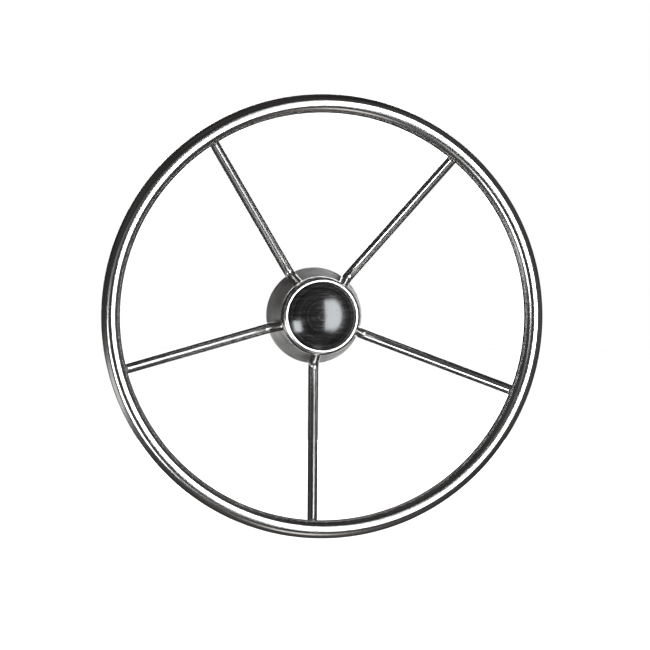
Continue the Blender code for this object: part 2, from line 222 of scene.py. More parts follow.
class HubSizes(bpy.types.PropertyGroup):
    """Sizes of the cup, the skirt and the cap."""

    cup_front: length("Cup front", front_of("hub_cup"), "Height of the lip's crest")
    cup_back: length("Cup back", back_of("hub_cup"), "Height of the cup's underside")
    cup_radius: length("Cup radius", radius_of("hub_cup"), "Largest radius of the lip")
    lip_bend: length("Lip bend", 0.0032, "Radius of the rolled lip")
    mouth: length("Mouth radius", 0.0305, "Radius of the cup's mouth")
    cup_inside: length("Cup inside radius", 0.0308, "Radius inside the cup, under its lip")
    cup_floor: length("Cup floor", 0.002, "Thickness of the cup's floor")
    cup_hole: length("Cup floor hole", 0.0072, "Radius of the shaft's hole in the cup's floor")
    skirt_front: length("Skirt front radius", 0.0324, "Radius of the skirt's front edge")
    skirt_back: length("Skirt back radius", radius_of("hub_skirt"), "Radius of its back edge")
    skirt_wall: length("Skirt wall", 0.0012, "Thickness of the skirt's sheet")
    cap_radius: length("Cap radius", radius_of("centre_cap"), "Radius of the dome's edge")
    cap_rise: length("Cap rise", 0.0085, "Height of the dome over its edge")
    cap_wall: length("Cap wall", 0.0024, "Thickness of the cap's dome")
    spigot_wall: length("Spigot wall", 0.00336, "Thickness of the cap's spigot")


class HelmSizes(bpy.types.PropertyGroup):
    """Sizes of the helm bearing and its shaft."""

    flange: length("Flange radius", radius_of("helm_flange"), "Radius of the flange")
    flange_thick: length("Flange thickness", front_of("helm_flange"), "Height of its front face")
    sleeve: length("Sleeve radius", 0.0170, "Outer radius of the bearing sleeve")
    bore: length("Sleeve bore", 0.0133, "Inner radius of the bearing sleeve")
    shaft: length("Shaft radius", radius_of("steering_shaft"), "Radius of the round shaft")
    thread: length("Thread radius", 0.0063, "Outer radius of the shaft's thread")
    screw_circle: length("Screw circle", 0.0310, "Distance of the screws from the axis")
    screw: length("Screw radius", 0.0024, "Outer radius of a screw's thread")


class Finishes(bpy.types.PropertyGroup):
    """Colours of the finishes."""

    polished: colour("Polished stainless", "C9C6C4", "Buffed 304 stainless steel")
    satin: colour("Satin stainless", "D2CFCC", "Brushed 304 stainless steel")
    machined: colour("Machined steel", "B4B2AF", "Turned steel")
    zinc: colour("Zinc plate", "B9BAB6", "Clear zinc plating")
    black: colour("Black ABS", "0B0A0A", "Gloss black moulded plastic")
    nylon: colour("Nylon", "DAD8CC", "Natural nylon")
    rubber: colour("Nitrile rubber", "1B1A1A", "Matt black rubber")
    bronze: colour("Bearing bronze", "B08A56", "Oil-soaked bronze")
    alloy: colour("Cast aluminium", "A9ABAD", "Shot-blasted aluminium casting")
    floor: colour("Floor", "F4F4F4", "Pale studio floor")


# Surfaces


def grid_faces(rows, columns, wrap_rows):
    """Quads over a grid whose columns close on themselves, as one array of four corners each.

    The corner in row a and column b has the number a * columns + b.
    """
    row = np.arange(rows if wrap_rows else rows - 1)
    a, b = np.meshgrid(row, np.arange(columns), indexing="ij")
    here, below = a * columns, (a + 1) % rows * columns
    onward = (b + 1) % columns
    quads = np.stack([here + b, here + onward, below + onward, below + b], axis=-1)
    return quads.reshape(-1, 4)


def run_lengths(points, closed):
    """Distance along a row of points, from its first one, with the way back if it is closed."""
    steps = np.diff(points, axis=0, append=points[:1] if closed else points[-1:])
    gone = np.cumsum(np.linalg.norm(steps, axis=1))
    return np.concatenate([[0.0], gone if closed else gone[:-1]])


def surface(name, points, wrap_rows=False, pole_first=False, pole_last=False, lengthwise=False):
    """A mesh over a grid of points whose columns close on themselves.

    points has the shape (rows, columns, 3). A pole closes the first or last row with a fan to its
    middle. The UV map holds real lengths: U round the columns and V along the rows, or the other
    way about when it is laid lengthwise.
    """
    rows, columns, _ = points.shape
    corners = points.reshape(-1, 3)
    quads = grid_faces(rows, columns, wrap_rows)
    faces = quads.tolist()
    around = np.arange(columns)
    onward = (around + 1) % columns
    if pole_first:
        faces += np.stack([np.full(columns, len(corners)), onward, around], axis=-1).tolist()
        corners = np.vstack([corners, points[0].mean(axis=0)])
    if pole_last:
        end = (rows - 1) * columns
        middle = np.full(columns, len(corners))
        faces += np.stack([middle, end + around, end + onward], axis=-1).tolist()
        corners = np.vstack([corners, points[-1].mean(axis=0)])
    mesh = bpy.data.meshes.new(name)
    mesh.from_pydata(corners.tolist(), [], faces)
    lay_out(mesh, points, wrap_rows, len(quads), lengthwise)
    mesh.shade_smooth()
    piece = bpy.data.objects.new(name, mesh)
    bpy.context.scene.collection.objects.link(piece)
    return piece


def lay_out(mesh, points, wrap_rows, quads, lengthwise):
    """Writes the UV map in metres, from the distances round the widest row and along the rows."""
    columns = points.shape[1]
    along = run_lengths(points[:, 0], wrap_rows)
    widest = points[np.argmax(np.linalg.norm(np.ptp(points, axis=1), axis=1))]
    girth = run_lengths(widest, True)
    a, b = np.meshgrid(np.arange(len(along) - 1), np.arange(columns), indexing="ij")
    corner_u = np.stack([girth[b], girth[b + 1], girth[b + 1], girth[b]], axis=-1)
    corner_v = np.stack([along[a], along[a], along[a + 1], along[a + 1]], axis=-1)
    flat = np.zeros((len(mesh.loops), 2))
    flat[: quads * 4, 0] = corner_u.reshape(-1)
    flat[: quads * 4, 1] = corner_v.reshape(-1)
    if lengthwise:
        flat = flat[:, ::-1].copy()
    layer = mesh.uv_layers.new(name="metres")
    layer.data.foreach_set("uv", flat.ravel())


def rounded(corners, bends, points=7):
    """A profile whose corners are replaced by arcs.

    At each corner the arc of the wanted radius touches both edges, at the radius over the tangent
    of half the corner's angle from it. It is drawn as a rational quadratic curve, whose middle
    weight is the sine of that half angle.
    """
    corners = np.asarray(corners, float)
    count = len(corners)
    share = np.linspace(0.0, 1.0, points)[:, None]
    line = []
    for i, bend in enumerate(bends):
        here = corners[i]
        if not bend:
            line.append(here[None])
            continue
        before = corners[i - 1] - here
        after = corners[(i + 1) % count] - here
        before /= np.linalg.norm(before)
        after /= np.linalg.norm(after)
        half = math.acos(max(-1.0, min(1.0, float(before @ after)))) / 2
        reach = bend / math.tan(half)
        weights = [(1 - share) ** 2, 2 * share * (1 - share) * math.sin(half), share**2]
        ends = [here + before * reach, here, here + after * reach]
        total = sum(weights)
        line.append(sum(w * end for w, end in zip(weights, ends, strict=True)) / total)
    return np.vstack(line)


def refined(profile, step, closed):
    """Adds evenly spaced points to a profile's long edges, so that none is longer than a step."""
    ends = np.roll(profile, -1, axis=0)
    if not closed:
        profile, ends, last = profile[:-1], ends[:-1], profile[-1:]
    pieces = []
    for start, end in zip(profile, ends, strict=True):
        count = max(1, math.ceil(float(np.linalg.norm(end - start)) / step))
        pieces.append(start + (end - start) * np.arange(count)[:, None] / count)
    return np.vstack(pieces if closed else [*pieces, last])


def turned_points(profile, columns, closed, step):
    """A profile of (radius, ahead) turned about the axis, as a grid of points.

    A point at radius r and height h lies at (r cos t, -h, r sin t) for every turn t.
    """
    line = refined(np.asarray(profile, float), step, closed)
    turn = np.linspace(0.0, math.tau, columns, endpoint=False)
    radius, ahead = line[:, :1], line[:, 1:]
    return np.stack([radius * np.cos(turn), -ahead + 0 * turn, radius * np.sin(turn)], axis=-1)


def turned(name, profile, columns=192, closed=True, step=2 * MM):
    """The surface of a turned profile.

    The profile runs down its outer side. An open one has its first and last points next to the
    axis, where the surface is closed.
    """
    points = turned_points(profile, columns, closed, step)
    return surface(name, points, closed, not closed, not closed)


def finish_piece(piece, body, material, slot, *nodes):
    """Gives a piece its finish, sets it riding and hides the nodes that it stands for."""
    piece.data.materials.append(material)
    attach(piece, body)
    if nodes:
        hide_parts(*nodes)
    return piece


# Finishes


def add(tree, kind, links=None, **settings):
    """Adds a node with its settings, and links or sets its inputs."""
    made = tree.nodes.new(kind)
    for key, value in settings.items():
        setattr(made, key, value)
    for socket, value in (links or {}).items():
        if isinstance(value, bpy.types.NodeSocket):
            tree.links.new(value, made.inputs[socket])
        else:
            made.inputs[socket].default_value = value
    return made


def begin(name, **settings):
    """A new material with its Principled shader, whose constant inputs are set directly."""
    material = bpy.data.materials.new(name)
    material.use_nodes = True
    shader = material.node_tree.nodes["Principled BSDF"]
    for socket, value in settings.items():
        shader.inputs[socket.replace("_", " ")].default_value = value
    return material, material.node_tree, shader


def every(*sizes):
    """Cycles in a metre of a pattern that repeats at these sizes in millimetres."""
    return tuple(1.0 / (size * MM) for size in sizes)


def stretched(tree, source, cycles, detail=3.0, roughness=0.5):
    """Noise that is stretched along each axis, by the number of its cycles in a metre."""
    where = add(tree, "ShaderNodeMapping", {"Vector": source, "Scale": cycles})
    return add(
        tree,
        "ShaderNodeTexNoise",
        {"Vector": where.outputs[0], "Scale": 1.0, "Detail": detail, "Roughness": roughness},
    ).outputs["Fac"]


def spread(tree, value, low, high, start=0.3, end=0.7):
    """Maps a pattern's middle range to a low and a high figure."""
    return add(
        tree,
        "ShaderNodeMapRange",
        {"Value": value, "From Min": start, "From Max": end, "To Min": low, "To Max": high},
    ).outputs[0]


def tinted(tree, shader, value, dark, light):
    """Colours a shader between two tones by a pattern."""
    tones = {0: value, 6: (*dark, 1.0), 7: (*light, 1.0)}
    mix = add(tree, "ShaderNodeMix", tones, data_type="RGBA")
    tree.links.new(mix.outputs[2], shader.inputs["Base Color"])


def raised(tree, shader, value, height):
    """Bumps a shader by a pattern, with its height in metres."""
    bump = add(tree, "ShaderNodeBump", {"Height": value, "Distance": height, "Strength": 1.0})
    tree.links.new(bump.outputs[0], shader.inputs["Normal"])


def scaled(tone, factor):
    return tuple(channel * factor for channel in tone)


def mirror_stainless(tone):
    """304 stainless, ground round and then buffed on a mop.

    The eye sees sharp bands along a tube, because the mop's hairlines run round it and smear
    whatever it reflects lengthwise, with a faint haze where compound was left. The hairlines are
    drawn at two thirds of a millimetre, coarser than they are, so that a near view shows them.
    """
    material, tree, shader = begin(
        "mirror_buffed_304_stainless", Metallic=1.0, Anisotropic=0.7, Anisotropic_Rotation=0.0
    )
    metres = add(tree, "ShaderNodeUVMap", uv_map="metres").outputs[0]
    grain = add(tree, "ShaderNodeTangent", direction_type="UV_MAP", uv_map="metres")
    tree.links.new(grain.outputs[0], shader.inputs["Tangent"])
    haze = stretched(tree, metres, every(40.0, 16.7, 1000.0), 4.0)
    hairlines = stretched(tree, metres, every(0.667, 33.3, 1000.0), 2.0)
    tree.links.new(spread(tree, haze, 0.205, 0.225), shader.inputs["Roughness"])
    tinted(tree, shader, spread(tree, hairlines, 0.0, 1.0), scaled(tone, 0.88), tone)
    return material


def satin_stainless(tone):
    """304 stainless sheet, spun to a cone and brushed round its axis with a 180 grit belt.

    The eye sees fine rings and a highlight that is smeared across them. The grit's own scratches
    are too fine to show, so the rings are drawn three quarters of a millimetre apart.
    """
    material, tree, shader = begin(
        "satin_brushed_304_stainless", Metallic=1.0, Anisotropic=0.6, Anisotropic_Rotation=0.25
    )
    metres = add(tree, "ShaderNodeUVMap", uv_map="metres").outputs[0]
    grain = add(tree, "ShaderNodeTangent", direction_type="UV_MAP", uv_map="metres")
    tree.links.new(grain.outputs[0], shader.inputs["Tangent"])
    rings = stretched(tree, metres, every(71.4, 0.769, 1000.0), 3.0, 0.6)
    patches = stretched(tree, metres, every(22.2, 6.25, 1000.0), 3.0)
    tree.links.new(spread(tree, rings, 0.48, 0.62), shader.inputs["Roughness"])
    both = add(tree, "ShaderNodeMath", {0: rings, 1: patches}, operation="MULTIPLY").outputs[0]
    tinted(tree, shader, spread(tree, both, 0.0, 1.0, 0.12, 0.4), scaled(tone, 0.62), tone)
    raised(tree, shader, rings, 0.004 * MM)
    return material


def gloss_black_abs(tone):
    """Black ABS, moulded in a turned and polished tool.

    The eye sees a wet black, crossed by the tool's fine rings and a few hair scratches.
    """
    material, tree, shader = begin("gloss_black_moulded_abs", Metallic=0.0, IOR=1.54)
    place = add(tree, "ShaderNodeTexCoord").outputs["Object"]
    flat = add(tree, "ShaderNodeMapping", {"Vector": place, "Scale": (1.0, 0.0, 1.0)}).outputs[0]
    out = add(tree, "ShaderNodeVectorMath", {0: flat}, operation="LENGTH").outputs["Value"]
    line = add(tree, "ShaderNodeCombineXYZ", {"X": out})
    rings = stretched(tree, line.outputs[0], every(2.38, 1000.0, 1000.0), 3.0, 0.6)
    grain = stretched(tree, flat, every(22.2, 1000.0, 2.083), 3.0, 0.6)
    both = add(tree, "ShaderNodeMath", {0: rings, 1: grain}, operation="MULTIPLY").outputs[0]
    tree.links.new(spread(tree, both, 0.10, 0.24, 0.12, 0.42), shader.inputs["Roughness"])
    tinted(tree, shader, spread(tree, both, 0.0, 1.0, 0.15, 0.4), tone, scaled(tone, 7.0))
    raised(tree, shader, both, 0.010 * MM)
    return material


def turned_metal(name, tone, low, high, **settings):
    """A metal cut on a lathe: fine tool rings along the piece's run, and slow changes of tone."""
    material, tree, shader = begin(name, Metallic=1.0, **settings)
    place = add(tree, "ShaderNodeTexCoord").outputs["Object"]
    rings = stretched(tree, place, every(25.0, 0.385, 25.0), 2.0)
    stain = stretched(tree, place, every(7.14, 7.14, 7.14), 4.0)
    tree.links.new(spread(tree, rings, low, high), shader.inputs["Roughness"])
    tinted(tree, shader, spread(tree, stain, 0.0, 1.0), scaled(tone, 0.78), tone)
    raised(tree, shader, rings, 0.006 * MM)
    return material


def blasted_aluminium(tone):
    """Die-cast aluminium, shot-blasted: an even sparkle of half-millimetre dimples."""
    material, tree, shader = begin("blasted_die_cast_aluminium", Metallic=1.0)
    place = add(tree, "ShaderNodeTexCoord").outputs["Object"]
    dimples = stretched(tree, place, every(0.526, 0.526, 0.526), 3.0, 0.6)
    cloud = stretched(tree, place, every(14.3, 14.3, 14.3), 3.0)
    tree.links.new(spread(tree, dimples, 0.42, 0.62), shader.inputs["Roughness"])
    tinted(tree, shader, spread(tree, cloud, 0.0, 1.0), scaled(tone, 0.82), tone)
    raised(tree, shader, dimples, 0.03 * MM)
    return material


def moulded(name, tone, low, high, pitch, height, **settings):
    """A moulded rubber or nylon piece: a fine even grain with a slow change of tone.

    The pitch of the grain is in millimetres, and its height in metres.
    """
    material, tree, shader = begin(name, Metallic=0.0, **settings)
    place = add(tree, "ShaderNodeTexCoord").outputs["Object"]
    grain = stretched(tree, place, every(pitch, pitch, pitch), 3.0, 0.6)
    cloud = stretched(tree, place, every(11.1, 11.1, 11.1), 3.0)
    tree.links.new(spread(tree, grain, low, high), shader.inputs["Roughness"])
    tinted(tree, shader, spread(tree, cloud, 0.0, 1.0), scaled(tone, 0.85), tone)
    raised(tree, shader, grain, height)
    return material


def pale_floor(tone):
    """A matt painted studio floor with a faint roller texture."""
    material, tree, shader = begin("matt_painted_floor", Metallic=0.0)
    shader.inputs["Roughness"].default_value = 0.85
    place = add(tree, "ShaderNodeTexCoord").outputs["Object"]
    cloud = stretched(tree, place, every(167.0, 167.0, 167.0), 4.0)
    tinted(tree, shader, cloud, scaled(tone, 0.97), tone)
    return material


def finishes():
    """Every finish by its slot in the record, made once."""
    tones = bpy.context.scene.wheel_finishes
    if "mirror_buffed_304_stainless" not in bpy.data.materials:
        mirror_stainless(tuple(tones.polished))
        satin_stainless(tuple(tones.satin))
        gloss_black_abs(tuple(tones.black))
        turned_metal("fine_turned_steel", tuple(tones.machined), 0.20, 0.34)
        turned_metal("clear_zinc_plate", tuple(tones.zinc), 0.26, 0.42)
        turned_metal("oil_soaked_bearing_bronze", tuple(tones.bronze), 0.28, 0.44)
        blasted_aluminium(tuple(tones.alloy))
        moulded("natural_nylon", tuple(tones.nylon), 0.38, 0.52, 0.6, 0.01 * MM, IOR=1.53)
        moulded("nitrile_rubber", tuple(tones.rubber), 0.62, 0.80, 0.5, 0.02 * MM, IOR=1.52)
    named = {
        "polished_stainless": "mirror_buffed_304_stainless",
        "satin_stainless": "satin_brushed_304_stainless",
        "machined_steel": "fine_turned_steel",
        "zinc_plated_steel": "clear_zinc_plate",
        "black_gloss_plastic": "gloss_black_moulded_abs",
        "white_nylon": "natural_nylon",
        "black_rubber": "nitrile_rubber",
        "bearing_bronze": "oil_soaked_bearing_bronze",
        "cast_aluminium": "blasted_die_cast_aluminium",
    }
    return {slot: bpy.data.materials[name] for slot, name in named.items()}


# The wheel


def rim_centre(sizes):
    return sizes.rim_outer - sizes.tube_radius


def spoke_height(sizes, radius):
    """Height of a spoke's straight stretch at a distance from the axis."""
    return sizes.rim_ahead - (rim_centre(sizes) - radius) * sizes.dish


class WHEEL_OT_rim(bpy.types.Operator):
    """Bends the tube to a ring"""

    bl_idname = "wheel.rim"
    bl_label = "Rim"

    def execute(self, context):
        """A circle of the tube's radius, carried round a circle of the rim's."""
        sizes = context.scene.wheel_sizes
        section = np.linspace(math.pi / 2, math.pi / 2 - math.tau, 56, endpoint=False)
        profile = np.stack(
            [
                rim_centre(sizes) + sizes.tube_radius * np.cos(section),
                sizes.rim_ahead + sizes.tube_radius * np.sin(section),
            ],
            axis=-1,
        )
        rim = turned("rim_ring", profile, 480)
        steel = finishes()["polished_stainless"]
        finish_piece(rim, WHEEL, steel, "polished_stainless", "rim_tube")
        return {"FINISHED"}


class WHEEL_OT_spokes(bpy.types.Operator):
    """Bends the five rods and grinds their welds"""

    bl_idname = "wheel.spokes"
    bl_label = "Spokes"

    def execute(self, context):
        sizes = context.scene.wheel_sizes
        steel = finishes()["polished_stainless"]
        for number in range(SPOKES):
            turn = sizes.first_spoke + math.tau * number / SPOKES
            rod = rod_surface(f"spoke_rod_{number + 1}", sizes, turn)
            finish_piece(rod, WHEEL, steel, "polished_stainless", f"spoke_{number + 1}")
            weld = weld_surface(f"rim_weld_{number + 1}", sizes, turn)
            finish_piece(weld, WHEEL, steel, "polished_stainless")
        return {"FINISHED"}


def rod_surface(name, sizes, turn, columns=40):
    """A circle carried along the rod's bent centre line.

    The circle lies across the line: one of its axes is the line's normal in the (radius, ahead)
    plane and the other is square to that plane. Its radius grows evenly from the rim to the hub.
    """
    top = rim_centre(sizes) - sizes.tube_radius * SPOKE_BURIED
    corners = [
        (top, spoke_height(sizes, top)),
        (sizes.knuckle, spoke_height(sizes, sizes.knuckle)),
        (sizes.stub_radius, sizes.stub_ahead),
    ]
    line = refined(rounded(corners, (0, sizes.knuckle_bend, 0), 17), 2.5 * MM, False)
    ahead = np.gradient(line, axis=0)
    ahead /= np.linalg.norm(ahead, axis=1, keepdims=True)
    normal = np.stack([ahead[:, 1], -ahead[:, 0]], axis=-1)
    share = np.clip((line[:, 0] - sizes.knuckle) / (top - sizes.knuckle), 0.0, 1.0)
    thick = sizes.spoke_hub + share * (sizes.spoke_rim - sizes.spoke_hub)
    around = np.linspace(0.0, math.tau, columns, endpoint=False)
    across = thick[:, None, None] * np.cos(around)[None, :, None] * normal[:, None, :]
    in_plane = line[:, None, :] + across
    sideways = thick[:, None] * np.sin(around)[None, :]
    points = placed(in_plane[..., 0], in_plane[..., 1], sideways, turn)
    return surface(name, points, False, True, True, True)


def placed(radius, ahead, sideways, turn):
    """Points given along a spoke's own axes, turned to the spoke's place on the wheel."""
    cos, sin = math.cos(turn), math.sin(turn)
    return np.stack(
        [radius * cos - sideways * sin, -ahead + 0 * radius, radius * sin + sideways * cos], axis=-1
    )


def weld_surface(name, sizes, turn, columns=48):
    """A ground fillet between a round rod and the round tube that it stands on.

    Its section is a quarter circle: at a share t of it, it stands off the rod by w (1 - sin t) and
    off the tube by w (1 - cos t). At a distance d across the tube the tube's own surface is
    sqrt(R^2 - d^2) from its centre line. The section is closed inside the metal.
    """
    lean = math.atan(sizes.dish)
    share = np.linspace(0.0, math.pi / 2, 9)
    leg = sizes.weld
    off_rod = np.concatenate([leg * (1 - np.sin(share)), [-leg, -leg]])
    off_tube = np.concatenate([leg * (1 - np.cos(share)), [leg, -leg]])
    around = np.linspace(0.0, math.tau, columns, endpoint=False)
    distance = sizes.spoke_rim + off_rod[:, None] + 0 * around
    across = distance * np.cos(around)
    sideways = distance * np.sin(around)
    stand = np.sqrt(sizes.tube_radius**2 - across**2) + off_tube[:, None]
    radius = rim_centre(sizes) - stand * math.cos(lean) + across * math.sin(lean)
    ahead = sizes.rim_ahead - stand * math.sin(lean) - across * math.cos(lean)
    bow = sideways**2 / (2 * rim_centre(sizes))
    return surface(name, placed(radius - bow, ahead, sideways, turn), True)


class WHEEL_OT_cup(bpy.types.Operator):
    """Spins the polished cup with its rolled lip"""

    bl_idname = "wheel.cup"
    bl_label = "Cup"

    def execute(self, context):
        hub = context.scene.hub_sizes
        steel = finishes()["polished_stainless"]
        cup = turned("cup_shell", cup_profile(hub), 256, True, 1 * MM)
        finish_piece(cup, WHEEL, steel, "polished_stainless", "hub_cup")
        return {"FINISHED"}


def cup_profile(hub):
    """The lip is an arc over the mouth, and the wall swells to the cup's radius and draws in."""
    bend = hub.lip_bend
    turn = np.radians(np.linspace(*LIP_SWEEP, 29))
    out = hub.cup_radius - LIP_INSET + bend * np.cos(turn)
    lip = np.stack([out, hub.cup_front - bend + bend * np.sin(turn)], axis=-1)
    floor = hub.cup_back + hub.cup_floor
    corners = [
        (hub.cup_radius + CUP_SWELL[0], CUP_SWELL[1]),
        CUP_MIDDLE,
        (CUP_WAIST, hub.cup_back),
        (hub.cup_hole, hub.cup_back),
        (hub.cup_hole, floor),
        (hub.cup_inside, floor),
        (hub.cup_inside, hub.cup_front - CUP_NECK[0]),
        (hub.mouth, hub.cup_front - CUP_NECK[1]),
    ]
    return np.vstack([lip, rounded(corners, CUP_BEND)])


class WHEEL_OT_skirt(bpy.types.Operator):
    """Spins the satin cone behind the cup"""

    bl_idname = "wheel.skirt"
    bl_label = "Skirt"

    def execute(self, context):
        """A straight cone of sheet with its front edge turned in and its back edge rounded."""
        hub = context.scene.hub_sizes
        front, back = front_of("hub_skirt"), back_of("hub_skirt")
        hole = radius_of("hub_core") + GAP
        slope = (hub.skirt_back - hub.skirt_front) / (front - back)
        inner = hub.skirt_front - hub.skirt_wall * (1.0 - slope)
        corners = [
            (hole, front),
            (hub.skirt_front - SKIRT_INSET, front),
            (hub.skirt_back, back),
            (hub.skirt_back - hub.skirt_wall, back),
            (inner, front - hub.skirt_wall),
            (hole, front - hub.skirt_wall),
        ]
        skirt = turned("skirt_cone", rounded(corners, SKIRT_BEND), 256, True, 1 * MM)
        steel = finishes()["satin_stainless"]
        finish_piece(skirt, WHEEL, steel, "satin_stainless", "hub_skirt")
        return {"FINISHED"}


class WHEEL_OT_cap(bpy.types.Operator):
    """Moulds the black domed cap"""

    bl_idname = "wheel.cap"
    bl_label = "Centre cap"

    def execute(self, context):
        hub = context.scene.hub_sizes
        cap = turned("cap_dome", cap_profile(hub), 256, False, 0.8 * MM)
        black = finishes()["black_gloss_plastic"]
        finish_piece(cap, CAP, black, "black_gloss_plastic", "centre_cap")
        return {"FINISHED"}


def dome_arc(radius, rise, edge, points=40):
    """A round dome: a ball of radius (r^2 + h^2) / 2h, cut off at the edge."""
    ball = (radius**2 + rise**2) / (2 * rise)
    turn = np.linspace(DOME_START, math.asin(radius / ball), points)
    return np.stack([ball * np.sin(turn), edge + rise - ball + ball * np.cos(turn)], axis=-1)


def cap_profile(hub):
    """The dome, a softly rounded edge, a grooved spigot and the hollow under the dome."""
    edge = front_of("centre_cap") - hub.cap_rise
    foot = back_of("centre_cap")
    groove = (front_of("cap_o_ring") + back_of("cap_o_ring")) / 2
    spigot = hub.cap_radius - CAP_LIP
    bore = spigot - hub.spigot_wall
    deep = spigot - GROOVE_DEEP
    outside = dome_arc(
        hub.cap_radius - CAP_EDGE_INSET, hub.cap_rise - CAP_EDGE_BEND, edge + CAP_EDGE_BEND
    )
    corners = [
        (hub.cap_radius, edge),
        (hub.cap_radius, edge - CAP_LIP),
        (spigot, edge - 2 * CAP_LIP),
        (spigot, groove + GROOVE_HALF),
        (deep, groove + GROOVE_HALF),
        (deep, groove - GROOVE_HALF),
        (spigot, groove - GROOVE_HALF),
        (spigot - SPIGOT_DRAFT, foot),
        (bore, foot),
    ]
    under = dome_arc(bore, hub.cap_rise - 1 * MM, edge - hub.cap_wall)[::-1]
    return np.vstack([outside, rounded(corners, CAP_BEND), under])


# The helm bearing


class WHEEL_OT_helm(bpy.types.Operator):
    """Casts the flange and turns its bushes"""

    bl_idname = "wheel.helm"
    bl_label = "Helm bearing"

    def execute(self, context):
        helm = context.scene.helm_sizes
        alloy = finishes()["cast_aluminium"]
        bronze = finishes()["bearing_bronze"]
        tail = back_of("helm_flange")
        corners = [
            (helm.bore, helm.flange_thick),
            (helm.flange, helm.flange_thick),
            (helm.flange, 0.0),
            (helm.sleeve, 0.0),
            (helm.sleeve, tail),
            (helm.bore, tail),
        ]
        housing = turned("helm_housing", rounded(corners, HOUSING_BEND))
        finish_piece(housing, HELM, alloy, "cast_aluminium", "helm_flange")
        for name, node in (("bush_front", "front_bush"), ("bush_rear", "rear_bush")):
            bush = turned(name, bush_profile(helm, node), 160)
            finish_piece(bush, HELM, bronze, "bearing_bronze", node)
        return {"FINISHED"}


def bush_profile(helm, node):
    """A plain tube with a lip on the end that is outside the sleeve."""
    lip, tube, bore = radius_of(node), helm.bore - GAP, helm.shaft + GAP
    front, back = front_of(node), back_of(node)
    if node == "front_bush":
        corners = [
            (bore, front),
            (lip, front),
            (lip, front - BUSH_LIP),
            (tube, front - BUSH_LIP),
            (tube, back),
            (bore, back),
        ]
    else:
        corners = [
            (bore, front),
            (tube, front),
            (tube, back + BUSH_LIP),
            (lip, back + BUSH_LIP),
            (lip, back),
            (bore, back),
        ]
    return rounded(corners, BUSH_BEND)


def threaded(points, pitch, depth, front, back):
    """Presses a screw thread into a turned surface.

    The cut's depth is a cosine wave of the height over the pitch less the turn, raised to a power
    that widens its crests, and it fades in and out over one pitch at the thread's ends.
    """
    height = -points[..., 1]
    turn = np.arctan2(points[..., 2], points[..., 0]) / math.tau
    wave = 0.5 - 0.5 * np.cos(math.tau * (height / pitch - turn))
    fade = np.clip((front - height) / pitch, 0.0, 1.0) * np.clip((height - back) / pitch, 0.0, 1.0)
    radius = np.maximum(np.hypot(points[..., 0], points[..., 2]), depth)
    shrink = 1.0 - depth * wave**1.3 * fade / radius
    cut = points.copy()
    cut[..., 0] *= shrink
    cut[..., 2] *= shrink
    return cut


class WHEEL_OT_shaft(bpy.types.Operator):
    """Turns the steering shaft, its taper and its thread"""

    bl_idname = "wheel.shaft"
    bl_label = "Steering shaft"

    def execute(self, context):
        helm = context.scene.helm_sizes
        front, back = front_of("steering_shaft"), back_of("steering_shaft")
        core_front, core_back = front_of("hub_core"), back_of("hub_core")
        shoulder = core_front - GAP
        narrow = helm.shaft - (shoulder - core_back) * TAPER
        clip_front = front_of("shaft_circlip") + GAP
        clip_back = back_of("shaft_circlip") - GAP
        deep = helm.shaft - CLIP_GROOVE
        corners = [
            (NEAR_AXIS, front),
            (helm.thread, front),
            (helm.thread, shoulder),
            (narrow, shoulder),
            (helm.shaft, core_back),
            (helm.shaft, clip_front),
            (deep, clip_front),
            (deep, clip_back),
            (helm.shaft, clip_back),
            (helm.shaft, back),
            (CENTRE_DRILL[0], back),
            (NEAR_AXIS, back + CENTRE_DRILL[1]),
        ]
        profile = rounded(corners, [bend * MM for bend in SHAFT_BEND])
        blank = turned_points(profile, 120, False, 0.25 * MM)
        points = threaded(blank, SHAFT_PITCH, SHAFT_THREAD, front, shoulder)
        shaft = surface("helm_shaft", points, False, True, True)
        steel = finishes()["machined_steel"]
        finish_piece(shaft, WHEEL, steel, "machined_steel", "steering_shaft")
        return {"FINISHED"}


class WHEEL_OT_screws(bpy.types.Operator):
    """Rolls the four flange screws"""

    bl_idname = "wheel.screws"
    bl_label = "Flange screws"

    def execute(self, context):
        helm = context.scene.helm_sizes
        zinc = finishes()["zinc_plated_steel"]
        for number in range(1, SCREWS + 1):
            node = f"mount_screw_{number}"
            low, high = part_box(node)
            middle = (low + high) / 2
            head, tip = front_of(node), back_of(node)
            seat = head - SCREW_HEAD
            wide = radius_of(node)
            corners = [
                (NEAR_AXIS, head),
                (wide, head - SCREW_EDGE),
                (wide, seat),
                (helm.screw, seat),
                (helm.screw, tip + helm.screw),
                (NEAR_AXIS, tip),
            ]
            blank = turned_points(rounded(corners, SCREW_BEND), 40, False, 0.12 * MM)
            points = threaded(blank, SCREW_PITCH, SCREW_THREAD, -SCREW_BARE, tip + SCREW_BARE)
            points[..., 0] += middle.x
            points[..., 2] += middle.z
            screw = surface(f"flange_screw_{number}", points, False, True, True)
            finish_piece(screw, HELM, zinc, "zinc_plated_steel", node)
        return {"FINISHED"}


class WHEEL_OT_dress(bpy.types.Operator):
    """Gives the frame's own pieces their finishes"""

    bl_idname = "wheel.dress"
    bl_label = "Frame finishes"

    def execute(self, context):
        by_slot = finishes()
        slots = {part["node"]: part["material_slot"] for part in frame["record"]["subparts"]}
        for node, piece in frame["nodes"].items():
            if piece.hide_render:
                continue
            for entry in piece.material_slots:
                entry.material = by_slot[slots[node]]
        return {"FINISHED"}


# The stage


def span_size(wide, tall):
    """Width and height of a sheet 4 m away that fills these angles."""
    return tuple(2 * FAR * math.tan(math.radians(span / 2)) for span in (wide, tall))


